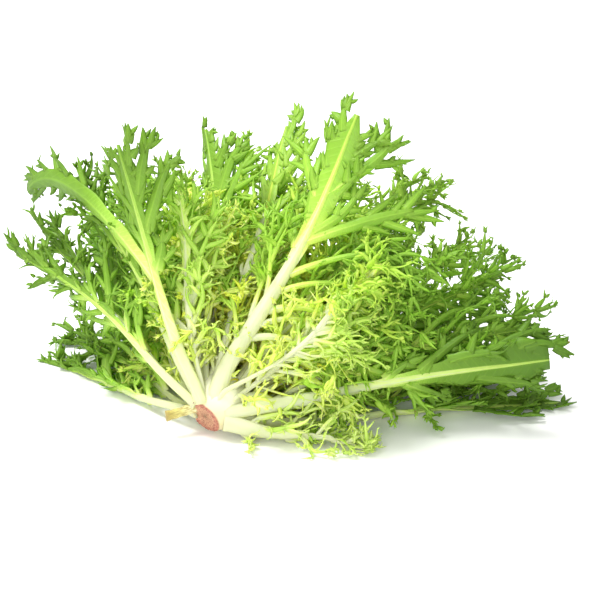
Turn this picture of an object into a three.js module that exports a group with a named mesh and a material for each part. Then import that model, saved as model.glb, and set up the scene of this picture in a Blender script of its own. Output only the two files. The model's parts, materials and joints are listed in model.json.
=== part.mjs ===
// A head of curly endive (frisee), lying on its side with its cut stem towards the front left.
// Millimetres, +Z up. The origin is on the surface that the head lies on, under the middle of the head.
//
// Every leaf grows out of a round crown. A point of a leaf is given by three numbers about the crown's
// centre: its distance, its opening (the angle from the head's axis, which runs from the cut stem to the
// heart) and its turn (the angle round that axis, from the top towards the right). Each leaf keeps to its
// own ring of openings and its own range of turns, so that no two leaves meet.

import * as THREE from "three";

// Driving dimensions
const CUT_RADIUS = 10.5;
const CUT_TO_CROWN_CENTRE = 15.2;
const CROWN_RADIUS = 18.7;
const CROWN_HEIGHT = 18.4;
const LEAF_GAP = 0.75;
const HEAD_AXIS = new THREE.Vector3(0.5, 0.8, 0.3).normalize();

// The table and the weight of the leaves
const TABLE_LEVEL = 1;
const TABLE_SOFTNESS = 2.5;
const SAG_AT_200 = 12;
const TABLE_SNAP = 0.6;

// A leaf's section
const RIB_THICKNESS = 4.2;
const TIP_THICKNESS = 1.8;
const EDGE_THICKNESS = 1.2;
const CHANNEL_DEPTH = 0.35;
const STATIONS = 13;
const BASE_STRETCH = 26;
const RIB_HALF_WIDTH = 4.4;
const NOTCH_DEPTH = 0.6;

const UP = new THREE.Vector3(0, 0, 1);
const HEAD_RIGHT = new THREE.Vector3().crossVectors(HEAD_AXIS, UP).normalize();
const HEAD_TOP = new THREE.Vector3().crossVectors(HEAD_RIGHT, HEAD_AXIS);
const rad = THREE.MathUtils.degToRad;

// Colours, from the white ribs to the dark outer blades
const material = (color, roughness) => new THREE.MeshStandardMaterial({ color, roughness, metalness: 0 });
const FINISH = {
  cut: material("#b9796a", 0.8),
  stub: material("#cdb97c", 0.7),
  outer: material("#5f9e33", 0.5),
  middle: material("#86c440", 0.5),
  inner: material("#c3dc55", 0.5),
  heart: material("#e2e46c", 0.5),
};

// Whorls of leaves, from the outermost to the heart. "seat" is the opening at which a leaf leaves the
// crown and "opening" the one that it settles to. A leaf is [turn, length, half width, lean, sway]: lean
// is added to the opening, and sway turns the tip sideways. All angles are in degrees.
const WHORLS = [
  {
    name: "outer_leaf",
    finish: FINISH.outer,
    seat: 124,
    opening: 88,
    leaves: [
      [-98, 134, 18, -2, 0],
      [-58, 152, 22, -7, 0],
      [-23, 150, 13, -12, 0],
      [108, 84, 14, -8, 0],
    ],
  },
  {
    name: "low_leaf",
    finish: FINISH.outer,
    seat: 109,
    opening: 72,
    leaves: [
      [-106, 150, 24, 0, 0],
      [-76, 152, 22, 0, 0],
      [-46, 142, 18, -2, 0],
      [-17, 122, 10, -7, 0],
      [30, 84, 12, -6, 0],
      [80, 184, 20, -10, 0],
      [112, 200, 22, -12, 0],
    ],
  },
  {
    name: "middle_leaf",
    finish: FINISH.middle,
    seat: 93,
    opening: 56,
    leaves: [
      [-120, 165, 25, 0, 0],
      [-90, 168, 23, 0, 0],
      [-58, 160, 20, 0, 0],
      [-28, 108, 12, -4, 0],
      [15, 184, 20, -8, 6],
      [56, 116, 14, -4, 0],
      [87, 180, 22, -4, 0],
      [118, 184, 24, -4, 0],
    ],
  },
  {
    name: "upper_leaf",
    finish: FINISH.middle,
    seat: 76,
    opening: 41,
    leaves: [
      [-135, 162, 23, 0, 0],
      [-102, 164, 20, 0, 0],
      [-68, 166, 18, 0, 0],
      [-35, 168, 15, 0, 0],
      [-3, 104, 12, 0, 0],
      [44, 122, 12, 0, 0],
      [77, 180, 18, 0, 0],
      [107, 182, 20, 0, 0],
      [140, 168, 20, -2, 0],
    ],
  },
  {
    name: "inner_leaf",
    finish: FINISH.inner,
    seat: 60,
    opening: 28,
    leaves: [
      [-158, 150, 17, -3, 0],
      [-118, 155, 17, 0, 0],
      [-84, 162, 15, 0, 0],
      [-53, 174, 13, 0, 0],
      [-21, 182, 13, 0, 0],
      [13, 150, 12, 0, 0],
      [48, 180, 13, 0, 0],
      [83, 178, 15, 0, 0],
      [120, 162, 17, 0, 0],
      [160, 150, 17, -3, 0],
    ],
  },
  {
    name: "young_leaf",
    finish: FINISH.inner,
    seat: 43,
    opening: 16,
    leaves: [
      [-135, 130, 11, 0, 0],
      [-80, 142, 10, 0, 0],
      [-24, 160, 10, 0, 0],
      [40, 166, 10, 0, 0],
      [104, 156, 11, 0, 0],
      [168, 130, 11, 0, 0],
    ],
  },
  {
    name: "heart_leaf",
    finish: FINISH.heart,
    seat: 24,
    opening: 6,
    leaves: [
      [-90, 100, 5.5, 0, 0],
      [30, 108, 5.5, 0, 0],
      [150, 100, 5.5, 0, 0],
    ],
  },
];

// The stub of a leaf that was cut off short, beside the cut face of the stem
const STUB = { seat: 140, opening: 138, turn: -80, length: 15, halfWidth: 4, thickness: 3.4 };

// A point at a distance, opening and turn about the crown's centre, before the table pushes back.
function direction(opening, turn) {
  const round = new THREE.Vector3()
    .addScaledVector(HEAD_TOP, Math.cos(turn))
    .addScaledVector(HEAD_RIGHT, Math.sin(turn));
  return new THREE.Vector3()
    .addScaledVector(HEAD_AXIS, Math.cos(opening))
    .addScaledVector(round, Math.sin(opening));
}

// The leaves sag with their reach, and the table holds up those that would sink below it.
function settle(point) {
  const reach = Math.hypot(point.x, point.y);
  const height = point.z + CROWN_HEIGHT - SAG_AT_200 * (reach / 200) ** 2;
  const above = (height - TABLE_LEVEL) / TABLE_SOFTNESS;
  const held = above > 30 ? above : Math.log1p(Math.exp(above));
  point.z = TABLE_LEVEL + held * TABLE_SOFTNESS;
  return point;
}

const place = (distance, opening, turn) => settle(direction(opening, turn).multiplyScalar(distance));

// Half the leaf's width at a share of its length: a narrow rib, a lobed blade and a blunt tip.
function halfWidth(share, widest, ribHalf) {
  const blade = Math.sin(Math.PI * Math.min(1, Math.max(0, share - 0.12) / 0.98) ** 1.35) ** 0.8;
  return Math.max(ribHalf * (1 - 0.45 * share), widest * blade);
}

// One leaf as a closed loft of six-sided rings: two points at each edge, a channel above and a keel below.
function leafGeometry({ seat, opening, turn, length, widest, ribHalf, sway, ribThickness, stations, lobed }) {
  const distanceAt = (share) => CROWN_RADIUS + LEAF_GAP + share * length;
  const openingAt = (share) => rad(seat + (opening - seat) * (1 - Math.exp((-share * length) / BASE_STRETCH)));
  const turnAt = (share) => rad(turn + sway * share * share);
  const surface = (share, aside) => place(distanceAt(share), openingAt(share), turnAt(share) + aside);

  const points = [];
  for (let i = 0; i < stations; i++) {
    const share = i / (stations - 1);
    const notch = lobed && i % 2 === 0 && share > 0.3 ? NOTCH_DEPTH : 1;
    const half = lobed ? halfWidth(share, widest, ribHalf) * notch : ribHalf;
    const spread = half / (distanceAt(share) * Math.sin(openingAt(share)));
    const thick = THREE.MathUtils.lerp(ribThickness, TIP_THICKNESS, Math.min(1, share * 1.2));
    const edge = Math.min(EDGE_THICKNESS, thick);
    const moved = (aside, outwards) => {
      const across = surface(share, aside + 0.01).sub(surface(share, aside - 0.01));
      const along = surface(share + 0.01, aside).sub(surface(share - 0.01, aside));
      return surface(share, aside).addScaledVector(across.cross(along).normalize(), outwards);
    };
    points.push(
      moved(-spread, -edge / 2),
      moved(0, -thick / 2 + CHANNEL_DEPTH),
      moved(spread, -edge / 2),
      moved(spread, edge / 2),
      moved(0, thick / 2),
      moved(-spread, edge / 2),
    );
  }
  return loft(points, 6);
}

// Triangles over rings of points, with flat ends.
function loft(points, perRing) {
  const rings = points.length / perRing;
  const faces = [];
  for (let i = 0; i < rings - 1; i++) {
    for (let k = 0; k < perRing; k++) {
      const a = i * perRing + k;
      const b = i * perRing + ((k + 1) % perRing);
      faces.push(a, b + perRing, b, a, a + perRing, b + perRing);
    }
  }
  const last = (rings - 1) * perRing;
  const cap = [0, 1, 4, 0, 4, 5, 1, 2, 3, 1, 3, 4];
  for (let i = 0; i < cap.length; i += 3) {
    faces.push(cap[i], cap[i + 1], cap[i + 2]);
    faces.push(last + cap[i], last + cap[i + 2], last + cap[i + 1]);
  }
  const geometry = new THREE.BufferGeometry().setFromPoints(points);
  geometry.setIndex(faces);
  return restOnTable(geometry);
}

// Flattens the underside where it meets the table.
function restOnTable(geometry) {
  const position = geometry.getAttribute("position");
  for (let i = 0; i < position.count; i++) {
    if (position.getZ(i) < TABLE_SNAP) position.setZ(i, 0);
  }
  geometry.computeVertexNormals();
  return geometry;
}

const head = new THREE.Group();

function addPiece(name, geometry, finish) {
  const mesh = new THREE.Mesh(geometry, finish);
  mesh.name = name;
  head.add(mesh);
  return mesh;
}

// The crown: the short stem with its flat cut face, swelling to the dome that carries the leaves.
function crownGeometry() {
  const profile = [
    new THREE.Vector2(0, -CUT_TO_CROWN_CENTRE),
    new THREE.Vector2(CUT_RADIUS, -CUT_TO_CROWN_CENTRE),
  ];
  const steps = 9;
  const rim = Math.atan2(CUT_RADIUS, -CUT_TO_CROWN_CENTRE);
  for (let i = 1; i < steps; i++) {
    const angle = rim * (1 - i / steps);
    profile.push(new THREE.Vector2(Math.sin(angle), Math.cos(angle)).multiplyScalar(CROWN_RADIUS));
  }
  profile.push(new THREE.Vector2(0, CROWN_RADIUS));
  const turned = new THREE.Quaternion().setFromUnitVectors(new THREE.Vector3(0, 1, 0), HEAD_AXIS);
  return restOnTable(
    new THREE.LatheGeometry(profile, 20).applyQuaternion(turned).translate(0, 0, CROWN_HEIGHT),
  );
}

addPiece("crown", crownGeometry(), FINISH.cut);

for (const whorl of WHORLS) {
  whorl.leaves.forEach(([turn, length, widest, lean, sway], i) => {
    const geometry = leafGeometry({
      seat: whorl.seat,
      opening: whorl.opening + lean,
      turn,
      length,
      widest,
      ribHalf: RIB_HALF_WIDTH,
      sway,
      ribThickness: RIB_THICKNESS,
      stations: STATIONS,
      lobed: true,
    });
    addPiece(`${whorl.name}_${i + 1}`, geometry, whorl.finish);
  });
}

const stub = leafGeometry({
  seat: STUB.seat,
  opening: STUB.opening,
  turn: STUB.turn,
  length: STUB.length,
  ribHalf: STUB.halfWidth,
  sway: 0,
  ribThickness: STUB.thickness,
  stations: 4,
  lobed: false,
});
addPiece("leaf_stub", stub, FINISH.stub);

// The head is moved so that the middle of its box stands over the origin.
const box = new THREE.Box3().setFromObject(head, true);
const middle = box.getCenter(new THREE.Vector3());
head.position.set(-middle.x, -middle.y, -box.min.z);

const endive = new THREE.Group();
endive.add(head);

export default endive;
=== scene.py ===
# %% [markdown]
# # A head of curly endive, lying on its side
#
# Curly endive grows as a rosette: a short stem carries whorls of leaves, and each leaf is a white rib with
# a fringe of narrow lobes that fork into tines and teeth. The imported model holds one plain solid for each
# leaf, which says where the leaf grows and how long and wide it is. This script reads that and grows the
# real leaf along it.

# %% Load the frame
import json
import math

import bpy
import numpy as np
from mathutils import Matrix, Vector


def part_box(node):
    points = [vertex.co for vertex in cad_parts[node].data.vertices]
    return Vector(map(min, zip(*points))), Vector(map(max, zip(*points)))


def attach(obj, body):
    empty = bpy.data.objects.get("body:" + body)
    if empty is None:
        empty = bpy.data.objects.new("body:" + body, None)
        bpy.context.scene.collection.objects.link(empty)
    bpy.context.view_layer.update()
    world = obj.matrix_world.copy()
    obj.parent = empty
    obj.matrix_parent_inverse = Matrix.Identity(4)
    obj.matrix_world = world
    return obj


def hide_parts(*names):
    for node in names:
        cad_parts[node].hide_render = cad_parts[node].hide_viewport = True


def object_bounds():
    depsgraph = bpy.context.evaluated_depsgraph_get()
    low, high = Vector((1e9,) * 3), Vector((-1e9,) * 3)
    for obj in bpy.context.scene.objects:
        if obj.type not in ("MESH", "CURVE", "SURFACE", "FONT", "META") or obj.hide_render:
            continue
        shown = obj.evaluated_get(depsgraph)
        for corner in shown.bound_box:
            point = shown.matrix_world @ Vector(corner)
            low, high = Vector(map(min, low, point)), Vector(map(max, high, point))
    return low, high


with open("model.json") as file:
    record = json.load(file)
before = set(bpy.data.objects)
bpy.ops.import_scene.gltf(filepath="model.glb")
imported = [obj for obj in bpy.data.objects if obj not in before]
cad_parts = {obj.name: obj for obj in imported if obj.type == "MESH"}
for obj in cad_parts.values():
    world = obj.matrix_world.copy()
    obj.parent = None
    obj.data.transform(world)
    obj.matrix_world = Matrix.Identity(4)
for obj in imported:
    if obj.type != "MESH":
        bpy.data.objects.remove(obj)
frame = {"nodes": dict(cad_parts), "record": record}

cad_low, cad_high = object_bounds()
MM = 0.001
print("nodes", len(frame["nodes"]), "box in mm", [round(v / MM) for v in cad_high - cad_low])

# %% [markdown]
# ## Where the leaves grow
#
# A leaf solid is a stack of six-sided sections from the crown to the tip. Walking outwards from the six
# points nearest the crown gives one section after another, and each gives the rib's place and the direction
# across the blade. It would be simpler to repeat the angles of the design here, but reading the solids keeps
# the leaves where the design puts them, whatever changes there.

# %% The crown's centre and the head's axis
SAME_PLACE = 0.001 * MM


def unit(v):
    """Vectors of length 1."""
    return v / np.linalg.norm(v, axis=-1, keepdims=True)


def points_of(node):
    """A node's corners, each once, and the corners that share a face with each."""
    mesh = frame["nodes"][node].data
    raw = np.array([v.co for v in mesh.vertices])
    _, first, same = np.unique(np.round(raw / SAME_PLACE), axis=0, return_index=True, return_inverse=True)
    same = same.ravel()
    near = [set() for _ in first]
    for face in mesh.polygons:
        corners = [int(same[i]) for i in face.vertices]
        for corner in corners:
            near[corner].update(corners)
    return raw[first], near


crown_low, crown_high = (np.array(c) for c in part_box("crown"))
CROWN_RADIUS = (crown_high[0] - crown_low[0]) / 2
CROWN = np.array([*(crown_low + crown_high)[:2] / 2, crown_high[2] - CROWN_RADIUS])
heart = [points_of(name)[0].mean(axis=0) for name in frame["nodes"] if name.startswith("heart_leaf")]
AXIS = unit(np.mean(heart, axis=0) - CROWN)
print("crown at", (CROWN / MM).round(1), "radius", round(CROWN_RADIUS / MM, 1), "axis", AXIS.round(2))


# %% A leaf's sections, from the crown to the tip
RING_POINTS = 6


def sections(node):
    """The middles of a leaf solid's sections, and the directions across them."""
    points, near = points_of(node)
    ring = set(np.argsort(np.linalg.norm(points - CROWN, axis=1))[:RING_POINTS].tolist())
    seen, rings = set(), []
    while ring:
        seen |= ring
        rings.append(points[sorted(ring)])
        ring = set().union(*(near[i] for i in ring)) - seen
    centres = np.array([r.mean(axis=0) for r in rings])
    across = []
    for r in rings:
        side = np.linalg.svd(r - r.mean(axis=0))[2][0]
        across.append(side if not across or side @ across[-1] > 0 else -side)
    return centres, np.array(across)


print("the stub's solid has", len(sections("leaf_stub")[0]), "sections")

# %% [markdown]
# ## A spine for each leaf
#
# A leaf's rib is one smooth curve. It starts deep in the crown, nearly along the stem, and leans out of it.
# A curve object could be drawn for each leaf, but an array of frames, each with a middle, a direction across
# and a direction out of the leaf's face, is what the ribbons below grow from. ROOT_TURN is how many degrees
# a whorl's roots turn back towards the stem, and ROOT_DEPTH how far from the crown's centre they start, as a
# share of its radius: the inner whorls sit higher on the stem, so they start deeper and steeper.

# %% A smooth spine for each leaf
SPINE_STEPS = 48
WHORLS = ("outer", "low", "middle", "upper", "inner", "young", "heart")
ROOT_TURN = dict(zip(WHORLS, (20, 28, 40, 46, 50, 50, 30)))
ROOT_DEPTH = dict(zip(WHORLS, (0.97, 0.9, 0.82, 0.72, 0.6, 0.5, 0.4)))
CROWN_SKIN = 1.02  # a rib leaves the crown here, as a share of its radius
FINE_STEPS = 240
SMOOTHING = 12  # fine steps on each side that are averaged
OUT_OF_THE_CROWN = 4  # the step at which a leaf's face is told from its back


def swing(p, q, angle):
    """Turns p towards q, and q with it."""
    c, s = np.cos(angle), np.sin(angle)
    return p * c + q * s, q * c - p * s


def smoothed(path, reach):
    """A path's running mean, with its ends held."""
    padded = np.concatenate([2 * path[0] - path[reach:0:-1], path, 2 * path[-1] - path[-2 : -reach - 2 : -1]])
    window = np.hanning(2 * reach + 3)[1:-1]
    window /= window.sum()
    return np.stack([np.convolve(padded[:, k], window, mode="valid") for k in range(path.shape[1])], axis=1)


def spine(node):
    """Frames along a leaf's rib, from inside the crown to the tip."""
    whorl = node.split("_")[0]
    centres, across = sections(node)
    outwards = unit(centres[0] - CROWN)
    back = unit(-AXIS + outwards * (AXIS @ outwards))
    turn = math.radians(ROOT_TURN[whorl])
    roots = []
    for share in (1.0, 0.5):
        lean = swing(outwards, back, turn * share)[0]
        depth = ROOT_DEPTH[whorl] + (CROWN_SKIN - ROOT_DEPTH[whorl]) * (1 - share)
        roots.append(CROWN + lean * CROWN_RADIUS * depth)
    path = np.concatenate([roots, centres[1:]])
    across = np.concatenate([across[:1], across[:1], across[1:]])
    gone = np.concatenate([[0], np.cumsum(np.linalg.norm(np.diff(path, axis=0), axis=1))])
    fine = np.linspace(0, gone[-1], FINE_STEPS)
    both = np.concatenate([path, across], axis=1)
    both = smoothed(np.stack([np.interp(fine, gone, column) for column in both.T], axis=1), SMOOTHING)
    centre, side = both[:, :3], both[:, 3:]
    pick = np.linspace(0, len(fine) - 1, SPINE_STEPS).round().astype(int)
    along = unit(np.gradient(centre, axis=0))[pick]
    side = side[pick]
    face = unit(np.cross(along, side))
    if face[OUT_OF_THE_CROWN] @ AXIS < 0:
        face = -face
    side = unit(np.cross(face, along))
    return {"centre": centre[pick], "side": side, "face": face, "length": gone[-1]}


LEAVES = [name for name in frame["nodes"] if name.split("_")[0] in WHORLS]
spines = {name: spine(name) for name in LEAVES}
lengths = [s["length"] / MM for s in spines.values()]
print(len(spines), "leaves,", round(min(lengths)), "to", round(max(lengths)), "mm long")

# %% [markdown]
# ## How a ribbon grows
#
# Every part of a leaf but its rib is a ribbon that leaves another at an angle and curls as it goes. A
# ribbon grows step by step: at each step it bends towards its face, turns in its own plane and twists.
# Whole sets of ribbons grow at once, as arrays, because a head has tens of thousands of them. A particle
# system could scatter ready-made pieces, but its pieces wouldn't join or follow the leaf.

# %% Grow a set of ribbons
FLOOR_CLEARANCE = 0.9 * MM
UNEVEN_LIFT = 3 * MM
DOWN = np.array([0, 0, -1.0])


def grow(start, along, face, length, steps, bend, turn, twist, wiggle, droop, rng):
    """Frames along ribbons. bend, turn and twist are whole angles, and wiggle is the size of their waves."""
    count = len(length)
    step = (length / (steps - 1))[:, None]
    phase = rng.uniform(0, 2 * np.pi, (3, count))
    waves = rng.uniform(0.5, 1.3, (3, count))
    kept = {"centre": [], "along": [], "side": [], "face": []}
    centre = start.copy()
    side = unit(np.cross(face, along))
    face = unit(np.cross(along, side))
    lift = rng.uniform(0, UNEVEN_LIFT, count)
    for i in range(steps):
        for name, value in (("centre", centre), ("along", along), ("side", side), ("face", face)):
            kept[name].append(value)
        share = i / (steps - 1)
        late = (0.3 + 2.1 * share * share) / steps  # most of a bend comes near the tip
        a, b, c = (
            (total * late + size * np.cos(phase[k] + 2 * np.pi * waves[k] * share) / steps)[:, None]
            for k, (total, size) in enumerate(((bend, wiggle), (turn, wiggle * 0.8), (twist, wiggle * 0.7)))
        )
        along, face = swing(along, face, a)
        along, side = swing(along, side, b)
        face, side = swing(face, side, c)
        along = along + DOWN * np.reshape(droop, (-1, 1)) * step
        low = centre[:, 2] + along[:, 2] * step[:, 0] < FLOOR_CLEARANCE + lift
        along[low, 2] = np.maximum(along[low, 2], 0.02)  # a ribbon that meets the table runs along it
        along = unit(along)
        side = unit(np.cross(face, along))
        face = unit(np.cross(along, side))
        centre = centre + along * step
    return {name: np.stack(rows, axis=1) for name, rows in kept.items()}


print("ribbons stay", FLOOR_CLEARANCE / MM, "mm above the table")

# %% [markdown]
# ## A ribbon's skin and its place on the colour map
#
# Leaf tissue is thin but not flat: each ribbon is a closed tube with a flat oval section, cupped towards its
# face and ruffled along its edges. One colour map serves every ribbon. Its first direction runs from white
# root to green tip, and its second is cut into rows, one for each ribbon's width, so that neighbours in
# different rows differ in shade. Unwrapping by hand would take a map for each of thousands of ribbons.

# %% Put a skin on ribbons
ROWS = 16
ROW_MARGIN = 0.06
ROW_WIDTH = 0.88


def skin(path, half, thick, points, cup, ruffle, green, row):
    """Closed tubes: corners, four-sided faces, and each corner's place on the colour map."""
    count, steps = half.shape
    angle = 2 * np.pi * np.arange(points) / points
    x, z = np.cos(angle), np.sin(angle)
    wave = np.sin(np.arange(steps) * 1.3 + row[:, None] * 2.4)[:, :, None] * ruffle[:, None, None] * x**3
    rise = z * thick[:, :, None] + (cup[:, None, None] * x**2 + wave) * half[:, :, None]
    corners = (
        path["centre"][:, :, None]
        + path["side"][:, :, None] * (x * half[:, :, None])[..., None]
        + path["face"][:, :, None] * rise[..., None]
    )
    ring = np.arange(count)[:, None, None] * steps * points + np.arange(steps - 1)[None, :, None] * points
    here, there = np.arange(points), (np.arange(points) + 1) % points
    walls = np.stack([ring + here, ring + there, ring + there + points, ring + here + points], axis=-1)
    i = np.arange(points // 2 - 1)
    cap = np.stack([i, i + 1, points - 2 - i, points - 1 - i], axis=-1)
    first = np.arange(count)[:, None, None] * steps * points
    ends = [first + cap[:, ::-1], first + cap + (steps - 1) * points]
    quads = np.concatenate([walls.reshape(-1, 4), *(e.reshape(-1, 4) for e in ends)])
    across = 0.5 + 0.5 * x
    place = np.empty((count, steps, points, 2))
    place[..., 0] = np.clip(green, 0.004, 0.996)[:, :, None]
    place[..., 1] = (row[:, None, None] % ROWS + ROW_MARGIN + ROW_WIDTH * across) / ROWS
    return corners.reshape(-1, 3), quads, place.reshape(-1, 2)


def joined(parts):
    """Many skins as one."""
    start, corners, quads, places = 0, [], [], []
    for c, q, p in parts:
        corners.append(c)
        quads.append(q + start)
        places.append(p)
        start += len(c)
    return np.concatenate(corners), np.concatenate(quads), np.concatenate(places)


print("the colour map has", ROWS, "rows")

# %% Find where offshoots leave their ribbon
def at_share(path, half, green, owner, share):
    """The frame, half width and greenness of ribbon owner at a share of its length."""
    steps = half.shape[1]
    place = share * (steps - 1)
    low = np.minimum(place.astype(int), steps - 2)
    part = (place - low)[:, None]
    mix = {k: v[owner, low] * (1 - part) + v[owner, low + 1] * part for k, v in path.items()}
    flat = part[:, 0]
    wide = half[owner, low] * (1 - flat) + half[owner, low + 1] * flat
    shade = green[owner, low] * (1 - flat) + green[owner, low + 1] * flat
    return mix, wide, shade


def offshoots(length, first, last, gap, rng):
    """Owner, share and hand of offshoots along ribbons, a gap apart, on one edge and then the other."""
    most = int(np.ceil((length * (last - first)).max() / gap)) + 1
    number = np.arange(most)[None] + rng.uniform(-0.3, 0.3, (len(length), most))
    share = first + (number + 0.5) * gap / length[:, None]
    hand = np.where((np.arange(most)[None] + rng.integers(0, 2, (len(length), 1))) % 2, 1.0, -1.0)
    owner = np.broadcast_to(np.arange(len(length))[:, None], share.shape)
    kept = (share > first) & (share < last)
    return owner[kept], share[kept], hand[kept]


tried = offshoots(np.array([100 * MM]), 0.0, 1.0, 10 * MM, np.random.default_rng(1))
print("a 100 mm ribbon with a 10 mm gap has", len(tried[0]), "offshoots")

# %% [markdown]
# ## The habit of each leaf
#
# Some leaves are broad: a strong rib with a wide, blunt, toothed blade and a few strap-like branches. Others
# are lacy: a thin rib under a cloud of long, narrow, arching branches. Every leaf lies somewhere between the
# two, broader outside and lacier towards the heart, so a leaf's habit is a mix of two rows of measures.

# %% The two habits, in millimetres and radians
MEASURES = {
    # measure: (lacy, broad)
    "rib": (2.4, 5.4),  # half width at the root
    "rib_tip": (0.5, 0.9),  # half width at the tip
    "wing": (0.5, 2.0),  # width of the thin wing on each edge of the rib
    "blade": (1.0, 2.2),  # how much the wing widens into the blade
    "taper": (0.6, 0.9),  # share of that width lost again at the tip
    "bare": (0.08, 0.4),  # share of the rib that carries nothing
    "branch_gap": (3.8, 11),
    "branch": (58, 38),  # length
    "branch_half": (1.5, 3.6),  # half width
    "branch_base": (0.8, 1.2),  # half width where it leaves the rib, as a share of the full one
    "angle": (0.7, 0.5),  # between a branch and the rib
    "lean": (0.1, 0.0),  # of a branch out of the leaf's face, back if it is negative
    "roll": (0.75, 0.2),  # how unevenly branches lean and roll
    "lobe_gap": (6.8, 8.0),
    "lobe": (18, 12),
    "lobe_half": (1.4, 2.5),
    "lobe_base": (0.9, 1.3),
    "tine_gap": (9.0, 7.0),
    "tine": (7.5, 5.0),
    "tine_half": (1.05, 1.4),
    "curl": (2.2, 0.5),  # how much ribbons bend on their way
    "droop": (7.0, 0.6),  # how much they sag
    "thick": (0.45, 0.6),
}
LACY = {name: pair[0] for name, pair in MEASURES.items()}
BROAD = {name: pair[1] for name, pair in MEASURES.items()}
print(len(MEASURES), "measures for each habit")

# %% [markdown]
# ## Whorls, and leaves with ways of their own
#
# A whorl's leaves share a habit: "broad" is their place between lacy and broad, and "aged" moves them along
# the colour map, as if they stood so many millimetres farther out. A few leaves differ, and a head is known
# by them: the big ribbed leaf in front, the strap that hangs out to the left, the blunt leaf at the right.
# Their rows change only the measures that differ.
#
# - straps and side_ribs are branches given one by one: share of the rib, hand, angle, length, half width,
#   outward turn, droop.
# - bow moves the middle of the rib sideways, and sway its tip.
# - hands puts all branches on one edge, short stops the rib early, and pale keeps it white for longer.

# %% Each whorl's habit
WHORL = {
    "outer": dict(broad=0.6, aged=16),
    "low": dict(broad=0.5, aged=12),
    "middle": dict(broad=0.4, aged=6),
    "upper": dict(broad=0.3, aged=-2),
    "inner": dict(broad=0.1, aged=-34),
    "young": dict(broad=0.0, aged=-55, size=0.9),
    "heart": dict(broad=0.0, aged=-80, size=0.8),
}
COMMON = {"straps": [], "side_ribs": [], "hands": 0, "short": 0, "pale": 1.0, "size": 1.0}
print(len(WHORL), "whorls")

# %% Leaves that are known one by one
BIG_RIBBED_LEAF = dict(
    broad=1.0, rib=6.2, bare=0.5, blade=6.2, taper=0.9, short=9, pale=0.85, wing=2.4, bow=9, sway=-3, aged=-6,
    branch=28, branch_half=2.7, branch_gap=14,
    straps=[
        (0.58, 1, 0.75, 64, 3.6, 0.1, 1),
        (0.74, 1, 0.6, 46, 3.4, -0.3, 0),
        (0.7, -1, 0.8, 34, 3.0, -0.2, 0),
    ],
    side_ribs=[
        (0.23, 1, 0.65, 74, 1.8, 1.6, 16),
        (0.28, 1, 0.75, 70, 1.5, 1.3, 15),
        (0.33, 1, 0.55, 84, 1.9, 1.3, 13),
        (0.4, 1, 0.65, 80, 1.6, 1.0, 10),
        (0.46, 1, 0.55, 76, 1.9, 0.8, 8),
        (0.2, -1, 0.5, 52, 1.4, 0.9, 6),
        (0.28, -1, 0.5, 54, 1.4, 0.6, 4),
        (0.37, -1, 0.45, 52, 1.4, 0.3, 3),
    ],
)
STRAPPED_LEAF = dict(
    broad=1.0, bare=0.5, aged=16, bow=-6, sway=4,
    straps=[(0.5, -1, 0.64, 150, 7.2, 1.36, 1)],
)
TALL_LEAF = dict(
    broad=1.0, blade=4.5, aged=8, bow=3, sway=-2,
    straps=[
        (0.48, -1, 0.3, 62, 4.0, -0.2, 0),
        (0.62, 1, 0.45, 42, 3.4, 0.2, 0),
    ],
)
BLUNT_LEAF = dict(broad=1.0, rib=5.8, bare=0.46, blade=9.5, taper=0.15, bow=9, sway=13, aged=32, pale=0.5)
RUNNING_LEAF = dict(
    broad=0.0, rib=1.5, bare=0.45, branch=58, branch_half=1.6, aged=-80, droop=12.0, bow=14, sway=28, hands=1,
    lean=-0.2,
)
WHITE_FOOTED_LEAF = dict(broad=0.0, rib=7.5, aged=-90, droop=5.0, lean=-0.2, size=0.75, branch_gap=5.5)
FRIZZY = dict(broad=0.0, branch_half=1.7, lean=-0.3)
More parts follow.
